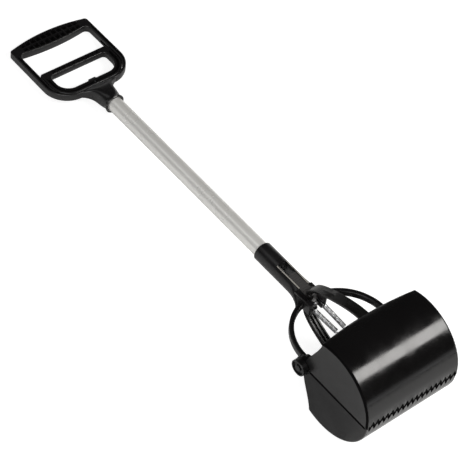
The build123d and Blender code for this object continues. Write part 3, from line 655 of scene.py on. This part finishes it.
class SCOOPER_OT_jaws(bpy.types.Operator):
    """Model the two toothed jaws with their arched rims, end walls, ears and lugs"""

    bl_idname = "scooper.jaws"
    bl_label = "Jaws"

    half = 75.0  # half width over the end walls
    drop = 47.0  # from the hinge down to the centre of the curved wall
    rim, rise = -24.5, 7.5  # height of the curved wall's rim, and the rise of its arch
    seam, seam_end = 0.6, 3.9  # gap beside the teeth, and its length at each end
    span = 141.0  # length of the row of teeth
    tooth_row, wall_rows = 0.11, 44  # share of the wall that the teeth bend, and rows past it
    ear, ear_inner, ear_lap = 12.0, 69.9, 0.1
    ear_proud = 0.03  # keeps the ear's face off the end wall's
    ear_foot = (-0.45, 0.98, 9.0)  # shares of the chord and of the rim's height, and a radius
    pocket_gap, pocket_start, pocket_end, pocket_steps = 0.6, 15.0, 87.0, 10
    brow_start, brow_reach = -1.0, 6.0
    brow = ((0.36, 0.28), (0.56, 0.55), (0.72, 0.76), (0.87, 0.92))  # shares of the chord and the fall
    bend_steps, corner_angle = 5, radians(55.0)
    chamfer, edge, small_edge = 1.6, 0.4, 0.3
    pin = (53.5, -20.5)  # the link's pin, from the hinge
    lug_half, lug_root, lug_foot = 4.1, 10.5, 22.5
    lug_round, lug_root_round = 3.0, 0.8
    end_slot, lip_slot = 1, 2  # places among the materials
    end_near, seam_near, seam_length = 0.1, 1.0, 50.0  # what marks the edges of the end seam
    outer_share, chamfer_share = 0.9, 0.85  # of a normal that looks outward, on a wall and a chamfer
    # The faces at the end seam and on the front jaw's bend get the lip finish, the jaw plastic darkened and
    # made matt as painted shade
    matt_inset, matt_reach, matt_share = 2.5, 2.2, 0.5  # of the matt faces at the end seam
    bend_low, bend_high, bend_share = 0.4, 0.93, 0.3  # of a normal on the bend

    def rim_height(self, x):
        bend = (self.half**2 + self.rise**2) / (2 * self.rise)
        return self.rim + self.rise - bend + sqrt(bend**2 - x**2)

    def wall_point(self, x, along, seam, side, radius):
        """Point of the curved wall, from the seam (along 0) to the rim (along 1)."""
        low = asin(seam / radius)
        high = pi / 2 + asin((self.rim_height(x) + self.drop) / radius)
        angle = low + (high - low) * along
        return Vector((x, side * radius * sin(angle), -self.drop - radius * cos(angle)))

    def curved_wall(self, shape, values, side):
        """Grid of the curved wall, its first row of points jagged into teeth."""
        radius = values.radius / MM
        pitch = self.span / values.teeth
        gap = values.tooth_gap / MM / 2
        lip = side * values.tooth_height / MM / 2
        straight = self.seam / 2
        columns = [(-self.half, straight), (-self.half + self.seam_end, straight), (-self.span / 2, gap)]
        for index in range(2 * values.teeth):
            place = (index + 0.5) * pitch / 2 - self.span / 2
            columns.append((place, gap + lip * (-1) ** index))
        columns += [(-x, seam) for x, seam in reversed(columns[:3])]
        rest = 1.0 - self.tooth_row
        rows = [0.0] + [self.tooth_row + rest * index / self.wall_rows for index in range(self.wall_rows + 1)]
        made = bmesh.ops.create_grid(shape, x_segments=len(columns) - 1, y_segments=len(rows) - 1, size=0.5)
        for vert in made["verts"]:
            x, seam = columns[round((vert.co.x + 0.5) * (len(columns) - 1))]
            row = round((vert.co.y + 0.5) * (len(rows) - 1))
            vert.co = self.wall_point(x, rows[row], seam if row == 0 else straight, side, radius)
        bmesh.ops.recalc_face_normals(shape, faces=shape.faces[:])
        side_point = Vector((0.0, side * radius, -self.drop))
        probe = min(shape.faces, key=lambda f: (f.calc_center_median() - side_point).length)
        if (probe.calc_center_median() - Vector((0.0, 0.0, -self.drop))).dot(probe.normal) < 0:
            bmesh.ops.reverse_faces(shape, faces=shape.faces[:])

    def end_wall(self, shape, side, hand, chord):
        """Flat end between the seam, the curved wall and the brow, from the wall's own border."""
        outline = [v for v in shape.verts if close_to(v.co.x, hand * self.half, 0.001)]
        outline.sort(key=lambda v: atan2(v.co.y * side, -(v.co.z + self.drop)))
        fall = self.rim - self.brow_start
        places = [(side * out * chord, self.brow_start + down * fall) for out, down in reversed(self.brow)]
        if side > 0:
            places += [(self.brow_reach, self.brow_start), (self.seam / 2, self.brow_start)]
        else:
            pocket = self.ear + self.pocket_gap
            turn = self.pocket_end - self.pocket_start
            for index in range(self.pocket_steps + 1):
                angle = radians(self.pocket_start + turn * index / self.pocket_steps)
                places.append((-pocket * cos(angle), -pocket * sin(angle)))
        outline += [shape.verts.new((hand * self.half, y, z)) for y, z in places]
        face = shape.faces.new(outline)
        face.normal_update()
        if face.normal.x * hand < 0:
            face.normal_flip()
        face.material_index = self.end_slot
        return face

    def outward(self, face):
        """How far a face of the curved wall looks away from the wall's centre line."""
        centre = face.calc_center_median()
        return face.normal.dot(Vector((0.0, centre.y, centre.z + self.drop)).normalized())

    def lip_edge(self, edge, reach, corner):
        """Whether an edge is an outer one along the seam, of the curved wall or of an end wall."""
        ends = [v.co for v in edge.verts]
        low = all(abs(c.y) < reach and c.z < -self.drop and abs(c.x) < self.half - corner for c in ends)
        seam = all(abs(c.y) < self.seam_near and abs(c.x) > self.half - self.end_near for c in ends)
        seam = seam and edge.calc_length() > self.seam_length
        least = self.outer_share
        outer = [f for f in edge.link_faces if self.outward(f) > least or seam and abs(f.normal.x) > least]
        return len(outer) == 1 and (low or seam)

    def lip(self, shape, reach, corner, side):
        """Give the chamfers and the wall's thickness along the seam, and the front bend, a darker matt copy
        of the jaw plastic: painted shade in the gap and seam, a painted dark reflection on the bend.
        """
        for face in shape.faces:
            centre, across, out = face.calc_center_median(), abs(face.normal.x), self.outward(face)
            low = abs(centre.y) < reach and centre.z < -self.drop and abs(centre.x) < self.half - corner
            seam = abs(centre.y) < self.matt_reach and abs(centre.x) > self.half - self.matt_inset
            seam = seam and abs(face.normal.y) > self.matt_share
            bend = side > 0 and abs(centre.x) > self.half - corner
            bend = bend and self.bend_low < across < self.bend_high and out > self.bend_share
            if seam or bend or low and out < self.chamfer_share:
                # painted shade: these faces take the darkened matt copy of the jaw plastic
                face.material_index = self.lip_slot

    def laid(self, y=0.0, z=0.0):
        """Turns a shape's axis along the hinge, at a place across it."""
        return Matrix(((0, 0, 1, 0), (1, 0, 0, y), (0, 1, 0, z), (0, 0, 0, 1)))

    def disc(self, shape, radius, start, end):
        """Round plate across the hinge between two places along it."""
        flat = radius - self.edge
        profile = [
            (0.0, start), (flat, start), (radius, start + self.edge),
            (radius, end - self.edge), (flat, end), (0.0, end),
        ]
        made = turned(shape, profile, 48)
        bmesh.ops.transform(shape, matrix=self.laid(), verts=list({v for f in made for v in f.verts}))

    def hull(self, shape, rounds, start, end):
        """Plate round two or more circles (y, z, radius), between two places along the hinge."""
        body = bmesh.new()
        for y, z, radius in rounds:
            made = bmesh.ops.create_circle(body, segments=36, radius=radius)["verts"]
            bmesh.ops.transform(body, matrix=self.laid(y, z), verts=made)
        outer = bmesh.ops.convex_hull(body, input=body.verts[:])
        spare = set(points_in(outer["geom_interior"] + outer["geom_unused"]))
        bmesh.ops.delete(body, geom=list(spare), context="VERTS")
        bmesh.ops.dissolve_limit(body, angle_limit=radians(1.0), verts=body.verts[:], edges=body.edges[:])
        flat = max(body.faces, key=lambda f: f.calc_area())
        bmesh.ops.delete(body, geom=[f for f in body.faces if f is not flat], context="FACES")
        plate(body, (start, 0.0, 0.0), (end - start, 0.0, 0.0))
        soften(body, self.edge, 2, radians(60.0))
        joined(shape, body)

    def ears(self, shape, side, wall, chord):
        """Ears on the hinge: the front jaw's outside, the rear jaw's inside them."""
        reach, fall, radius = self.ear_foot
        rounds = ((0.0, 0.0, self.ear), (reach * chord, fall * self.rim, radius))
        for hand in (1, -1):
            if side > 0:
                self.disc(shape, self.ear, *mirrored(hand, self.half - wall, self.half + self.ear_proud))
            else:
                self.hull(shape, rounds, *mirrored(hand, self.ear_inner, self.half - wall + self.ear_lap))

    def lug(self, shape, side, inner):
        """Lug between the curved wall and the link's pin."""
        rounds = [(side * self.pin[0], self.pin[1], self.lug_round)]
        for height in (self.pin[1] - self.lug_root, self.pin[1] - self.lug_foot):
            reach = side * sqrt(inner**2 - (self.drop + height) ** 2)
            rounds.append((reach, height, self.lug_root_round))
        self.hull(shape, rounds, -self.lug_half, self.lug_half)

    def execute(self, context):
        values = context.scene.scooper_jaws
        wall, radius = values.wall / MM, values.radius / MM
        chord = sqrt(radius**2 - (self.drop + self.rim) ** 2)
        reach = (values.tooth_height + values.tooth_gap) / MM / 2 + 0.5
        corner = values.edge / MM + 0.1
        for name, side, end_finish in (
            ("front_jaw", 1, "jaw_end_plastic"),
            # painted shade: the rear jaw's end walls take a copy of the end plastic with less sheen, so they
            # reflect darker
            ("rear_jaw", -1, "rear_end_plastic"),
        ):
            shape = bmesh.new()
            self.curved_wall(shape, values, side)
            ends = [self.end_wall(shape, side, hand, chord) for hand in (1, -1)]
            bends = [e for f in ends for e in f.edges if len(e.link_faces) == 2]
            bevelled(shape, bends, values.edge / MM, self.bend_steps)
            bmesh.ops.solidify(shape, geom=shape.faces[:], thickness=wall)
            soften(shape, self.chamfer, 1, self.corner_angle, lambda e: self.lip_edge(e, reach, corner))
            self.lip(shape, reach, corner, side)
            soften(shape, self.small_edge, 2, self.corner_angle)
            self.ears(shape, side, wall, chord)
            self.lug(shape, side, radius - wall / 2)
            materials = ["jaw_plastic", end_finish, "lip_plastic"]
            make_piece(shape, name + "_shell", materials, name, [name], 30.0)
        return {"FINISHED"}


# ---- springs

class ScooperSpring(bpy.types.PropertyGroup):
    turns: IntProperty(name="Turns", description="Number of turns in each spring's coil", default=23, min=1)
    wire: length_setting("Wire radius", "Radius of the spring wire", 0.0006)
    coil: length_setting("Coil radius", "Radius of the coil at the middle of the wire", 0.00285)
    pitch: length_setting("Coil pitch", "Rise of the coil in one turn", 0.0017)


class SCOOPER_OT_springs(bpy.types.Operator):
    """Wind the two springs between the hinge axle and the slider's cross pin"""

    bl_idname = "scooper.springs"
    bl_label = "Springs"

    foot_spacing, head_spacing, pin = 6.2, 8.0, 73.0
    axle_hook, pin_hook, tip = 3.7, 1.95, 1.2
    shank_top, head_shank = 8.7, 5.0
    axle_steps, shank_steps, pin_steps = 12, 8, 10
    coil_foot, coil_steps = 17.0, 18
    lead_rise, lead_steps, lead_turn = 2.8, 13, 0.9
    stretch_foot, stretch_top = 8.0, 66.0

    def lead(self, share, radius, way):
        """Point between a shank on the axis (share 0) and the coil (share 1), from the coil's end."""
        grown = radius * (3 * share**2 - 2 * share**3)
        angle = way * pi * self.lead_turn * (1 - share)
        return grown * cos(angle), grown * sin(angle), way * self.lead_rise * (1 - share)

    def path(self, values, length):
        """Points of the wire along its own Z axis, from the axle's hook to the pin's hook, in mm."""
        turns, radius, pitch = values.turns, values.coil / MM, values.pitch / MM
        foot, steps = self.coil_foot, self.coil_steps
        head = foot + turns * pitch
        low, high = self.axle_hook, self.pin_hook
        shares = [i / self.lead_steps for i in range(1, self.lead_steps)]
        bends, shanks, hooks = self.axle_steps, self.shank_steps, self.pin_steps
        points = [(0.0, low, self.tip)]
        points += [(0.0, low * cos(pi * i / bends), -low * sin(pi * i / bends)) for i in range(bends + 1)]
        for i in range(1, shanks + 1):
            points.append((0.0, -low * (0.5 + 0.5 * cos(pi * i / shanks)), self.shank_top * i / shanks))
        for x, y, rise in (self.lead(share, radius, -1) for share in shares):
            points.append((x, y, foot + rise))
        for i in range(turns * steps + 1):
            angle = 2 * pi * i / steps
            points.append((radius * cos(angle), radius * sin(angle), foot + pitch * i / steps))
        for x, y, rise in (self.lead(1 - share, radius, 1) for share in shares):
            points.append((x, y, head + rise))
        for i in range(shanks + 1):
            reach = high * (0.5 - 0.5 * cos(pi * i / shanks))
            points.append((0.0, reach, length - self.head_shank * (1 - i / shanks)))
        for i in range(1, hooks + 1):
            points.append((0.0, high * cos(pi * i / hooks), length + high * sin(pi * i / hooks)))
        points.append((0.0, -high, length - self.tip))
        return points

    def wound(self, name, points, radius):
        """Shape of a round wire along points."""
        curve = bpy.data.curves.new(name, "CURVE")
        curve.dimensions = "3D"
        curve.bevel_depth = radius
        curve.bevel_resolution = 2
        curve.use_fill_caps = True
        line = curve.splines.new("POLY")
        line.points.add(len(points) - 1)
        for point, place in zip(line.points, points):
            point.co = (*place, 1.0)
        holder = bpy.data.objects.new(name, curve)
        mesh = bpy.data.meshes.new_from_object(holder)
        shape = bmesh.new()
        shape.from_mesh(mesh)
        bpy.data.objects.remove(holder)
        bpy.data.curves.remove(curve)
        bpy.data.meshes.remove(mesh)
        return shape

    def execute(self, context):
        values = context.scene.scooper_spring
        low, high = self.foot_spacing, self.head_spacing
        length = sqrt((high - low) ** 2 + self.pin**2)
        rake = atan2(high - low, self.pin)
        for name, hand in (("left", 1), ("right", -1)):
            shape = self.wound(name + "_wire", self.path(values, length), values.wire / MM)
            turn = Matrix.Rotation(hand * rake, 4, "Y")
            turn.translation = (hand * low, 0.0, 0.0)
            bmesh.ops.transform(shape, matrix=turn, verts=shape.verts[:])
            piece = make_piece(shape, name + "_spring_wire", ["spring_steel"], None, [])
            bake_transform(piece)
            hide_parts(name + "_spring")
        return {"FINISHED"}


# ---- stage

def soft_lamp(name, target, way, distance, size, radiance, colour, roll_up):
    """Rectangular lamp that looks at its target, of a radiance that doesn't change with its size."""
    width, length = size
    target = Vector(target)
    lamp = bpy.data.lights.new(name, "AREA")
    lamp.shape = "RECTANGLE"
    lamp.size = width
    lamp.size_y = length
    lamp.energy = radiance * pi * width * length
    lamp.color = colour
    place = target + distance * Vector(way).normalized()
    back = (place - target).normalized()
    right = Vector(roll_up).cross(back).normalized()
    added(name, lamp).matrix_world = framed(right, back.cross(right), back, place)


class SCOOPER_OT_stage(bpy.types.Operator):
    """Lay the pale floor, hang the soft lamps and set the camera"""

    bl_idname = "scooper.stage"
    bl_label = "Stage, lamps and camera"

    white = (1.0, 1.0, 1.0)
    # What the camera alone sees of the floor: a share of its colour, and a glow that makes it white
    seen_shade, seen_glow = 0.6, 0.80
    strip_place = 0.38  # of the overhead strip of light, along X
    camera_place = (1.1244, 1.0151, 1.9108)
    camera_forward = (-0.46881, -0.40366, -0.78567)
    camera_right = (-0.77776, 0.61027, 0.15055)

    def floor(self, values):
        mesh = bpy.data.meshes.new("floor")
        shape = bmesh.new()
        bmesh.ops.create_grid(shape, x_segments=1, y_segments=1, size=values.floor_size / 2)
        shape.to_mesh(mesh)
        shape.free()
        floor = added("floor", mesh)
        tree, shader, place = new_material("floor_paper")
        shader.inputs["Roughness"].default_value = 0.9
        shader.inputs["Specular IOR Level"].default_value = 0.1
        fibre = mottled(tree, place, scale=40.0, detail=3.0)
        colour = values.floor_colour
        paper = mixed(tree, fibre, shade(colour, 0.995), shade(colour, 1.0))
        seen = node(tree, "ShaderNodeLightPath").outputs["Is Camera Ray"]
        shown = mixed(tree, seen, paper, shade(colour, self.seen_shade))
        tree.links.new(shown, shader.inputs["Base Color"])
        shader.inputs["Emission Color"].default_value = (*self.white, 1.0)
        tree.links.new(worked(tree, "MULTIPLY", seen, self.seen_glow), shader.inputs["Emission Strength"])
        mesh.materials.append(finish_named("floor_paper"))

    def backdrop(self):
        """World that glows along the horizon and in a strip overhead, and is white to the camera."""
        world = bpy.data.worlds.new("studio")
        bpy.context.scene.world = world
        world.use_nodes = True
        tree = world.node_tree
        way = node(tree, "ShaderNodeTexCoord").outputs["Generated"]
        split = node(tree, "ShaderNodeSeparateXYZ")
        tree.links.new(way, split.inputs[0])
        across, height = split.outputs["X"], split.outputs["Z"]
        horizon = ranged(tree, height, low=0.02, high=0.17, to_low=0.9, to_high=0.03)
        off_strip = worked(tree, "ABSOLUTE", worked(tree, "SUBTRACT", across, self.strip_place))
        strip = ranged(tree, off_strip, low=0.10, high=0.32, to_low=0.65, to_high=0.0)
        overhead = ranged(tree, height, low=0.55, high=0.75, to_low=0.0, to_high=1.0)
        glow = worked(tree, "ADD", horizon, worked(tree, "MULTIPLY", strip, overhead))
        seen = node(tree, "ShaderNodeLightPath").outputs["Is Camera Ray"]
        background = tree.nodes["Background"]
        background.inputs["Color"].default_value = (*self.white, 1.0)
        tree.links.new(worked(tree, "ADD", glow, seen), background.inputs["Strength"])

    def lamps(self):
        soft_lamp(
            "key_lamp", target=(0.0, 0.31, 0.08), way=(-0.51, 0.40, 0.76), distance=2.2,
            size=(0.74, 1.6), radiance=10.0, colour=(1.0, 0.985, 0.96), roll_up=(1.0, 0.0, 0.0),
        )
        soft_lamp(
            "fill_lamp", target=(0.0, 0.05, 0.06), way=(0.70, 0.42, 0.58), distance=3.0,
            size=(2.0, 2.0), radiance=3.8, colour=self.white, roll_up=(0.0, 0.0, 1.0),
        )

    def camera(self, lens):
        """Camera fitted to the photograph."""
        camera = bpy.data.cameras.new("camera")
        camera.lens = lens
        camera.sensor_width = 36.0
        camera.sensor_fit = "HORIZONTAL"
        camera.clip_end = 50.0
        holder = added("camera", camera)
        forward = Vector(self.camera_forward).normalized()
        right = Vector(self.camera_right).normalized()
        holder.matrix_world = framed(right, right.cross(forward), -forward, Vector(self.camera_place))
        bpy.context.scene.camera = holder

    def execute(self, context):
        values = context.scene.scooper_stage
        context.scene.view_settings.view_transform = "Standard"
        self.floor(values)
        self.backdrop()
        self.lamps()
        self.camera(values.lens)
        return {"FINISHED"}


# ---- finish on the carried-over nodes

PLASTICS = (
    # finish, colour setting, share of it, roughness, grain size, grain depth, sheen
    ("jaw_plastic", "jaw_colour", 1.0, 0.16, 0.0011, 0.00001, 0.5),
    ("jaw_end_plastic", "jaw_colour", 1.0, 0.34, 0.0007, 0.00003, 0.5),
    # painted shade: the same end plastic with less sheen, for the rear jaw's end walls
    ("rear_end_plastic", "jaw_colour", 1.0, 0.34, 0.0007, 0.00003, 0.28),
    # painted shade: the lip finish is the jaw plastic at 0.4 of its colour, matt, for the teeth gap, the seam
    # and the front bend
    ("lip_plastic", "jaw_colour", 0.4, 0.75, 0.0007, 0.00003, 0.05),
    # painted shade: the recess finish is the handle plastic at 0.3 of its colour, matt, for the sunk cells
    # and grooves
    ("recess_plastic", "frame_colour", 0.3, 0.75, 0.0007, 0.00003, 0.05),
    # painted highlight: the pale finish of the strips along the yoke's window
    ("rim_plastic", "rim_colour", 1.0, 0.35, 0.0006, 0.00002, 0.5),
    ("handle_plastic", "frame_colour", 1.0, 0.30, 0.0006, 0.00003, 0.5),
    ("yoke_plastic", "frame_colour", 1.0, 0.28, 0.0006, 0.00003, 0.5),
    ("link_plastic", "link_colour", 1.0, 0.28, 0.0006, 0.00003, 0.36),
    ("slider_plastic", "slider_colour", 1.0, 0.45, 0.0006, 0.00005, 0.5),
    ("cap_plastic", "cap_colour", 1.0, 0.30, 0.0006, 0.00003, 0.5),
    ("bush_plastic", "bush_colour", 1.0, 0.40, 0.0006, 0.00002, 0.5),
)

# Nodes that aren't listed are steel pins, screws, the rod and its nut
FINISHED_NODES = {
    "handle_plastic": ("handle_frame", "trigger_loop"),
    "yoke_plastic": ("yoke",),
    "slider_plastic": ("slider",),
    "link_plastic": ("front_link", "rear_link"),
    "jaw_plastic": ("front_jaw", "rear_jaw"),
    "cap_plastic": ("left_hinge_cap", "right_hinge_cap"),
    "spring_steel": ("left_spring", "right_spring"),
    "tube_metal": ("tube",),
    "bush_plastic": ("upper_rod_bush", "lower_rod_bush", "left_hinge_washer", "right_hinge_washer"),
}


class SCOOPER_OT_finishes(bpy.types.Operator):
    """Make the plastics, the paint and the steel, and put them on the carried-over nodes"""

    bl_idname = "scooper.finishes"
    bl_label = "Finishes"

    def execute(self, context):
        values = context.scene.scooper_finish
        for name, setting, share, *surface in PLASTICS:
            moulded_plastic(name, shade(getattr(values, setting), share), *surface)
        painted_metal("tube_metal", values.tube_colour, roughness=0.28)
        drawn_steel("spring_steel", values.steel_colour, roughness=0.30)
        drawn_steel("pin_steel", values.steel_colour, roughness=0.26)
        finish_of = {name: finish for finish, names in FINISHED_NODES.items() for name in names}
        for name, part in frame["nodes"].items():
            material = finish_named(finish_of.get(name, "pin_steel"))
            for place in part.material_slots:
                place.material = material
        return {"FINISHED"}


# ---- panel and registration

OPERATORS = (
    SCOOPER_OT_stage, SCOOPER_OT_finishes, SCOOPER_OT_handle, SCOOPER_OT_trigger,
    SCOOPER_OT_yoke, SCOOPER_OT_pull, SCOOPER_OT_jaws, SCOOPER_OT_springs,
)
STEPS = [operator.bl_idname for operator in OPERATORS]

GROUPS = {
    "scooper_finish": ScooperFinish,
    "scooper_handle": ScooperHandle,
    "scooper_jaws": ScooperJaws,
    "scooper_spring": ScooperSpring,
    "scooper_stage": ScooperStage,
}


class SCOOPER_PT_panel(bpy.types.Panel):
    """Lists the scooper's sizes, colours and steps"""

    bl_idname = "SCOOPER_PT_panel"
    bl_label = "Scooper"
    bl_space_type = "VIEW_3D"
    bl_region_type = "UI"
    bl_category = "Scooper"

    def draw(self, context):
        for name in GROUPS:
            group = getattr(context.scene, name)
            box = self.layout.box()
            for setting in group.__annotations__:
                box.prop(group, setting)
        for step in STEPS:
            self.layout.operator(step)


CLASSES = (*GROUPS.values(), *OPERATORS, SCOOPER_PT_panel)


def register():
    for part in CLASSES:
        bpy.utils.register_class(part)
    for name, group in GROUPS.items():
        setattr(bpy.types.Scene, name, PointerProperty(type=group))


def unregister():
    for name in GROUPS:
        delattr(bpy.types.Scene, name)
    for part in reversed(CLASSES):
        bpy.utils.unregister_class(part)


def main():
    register()
    for step in STEPS:
        group, name = step.split(".")
        getattr(getattr(bpy.ops, group), name)()


if __name__ == "__main__":
    main()
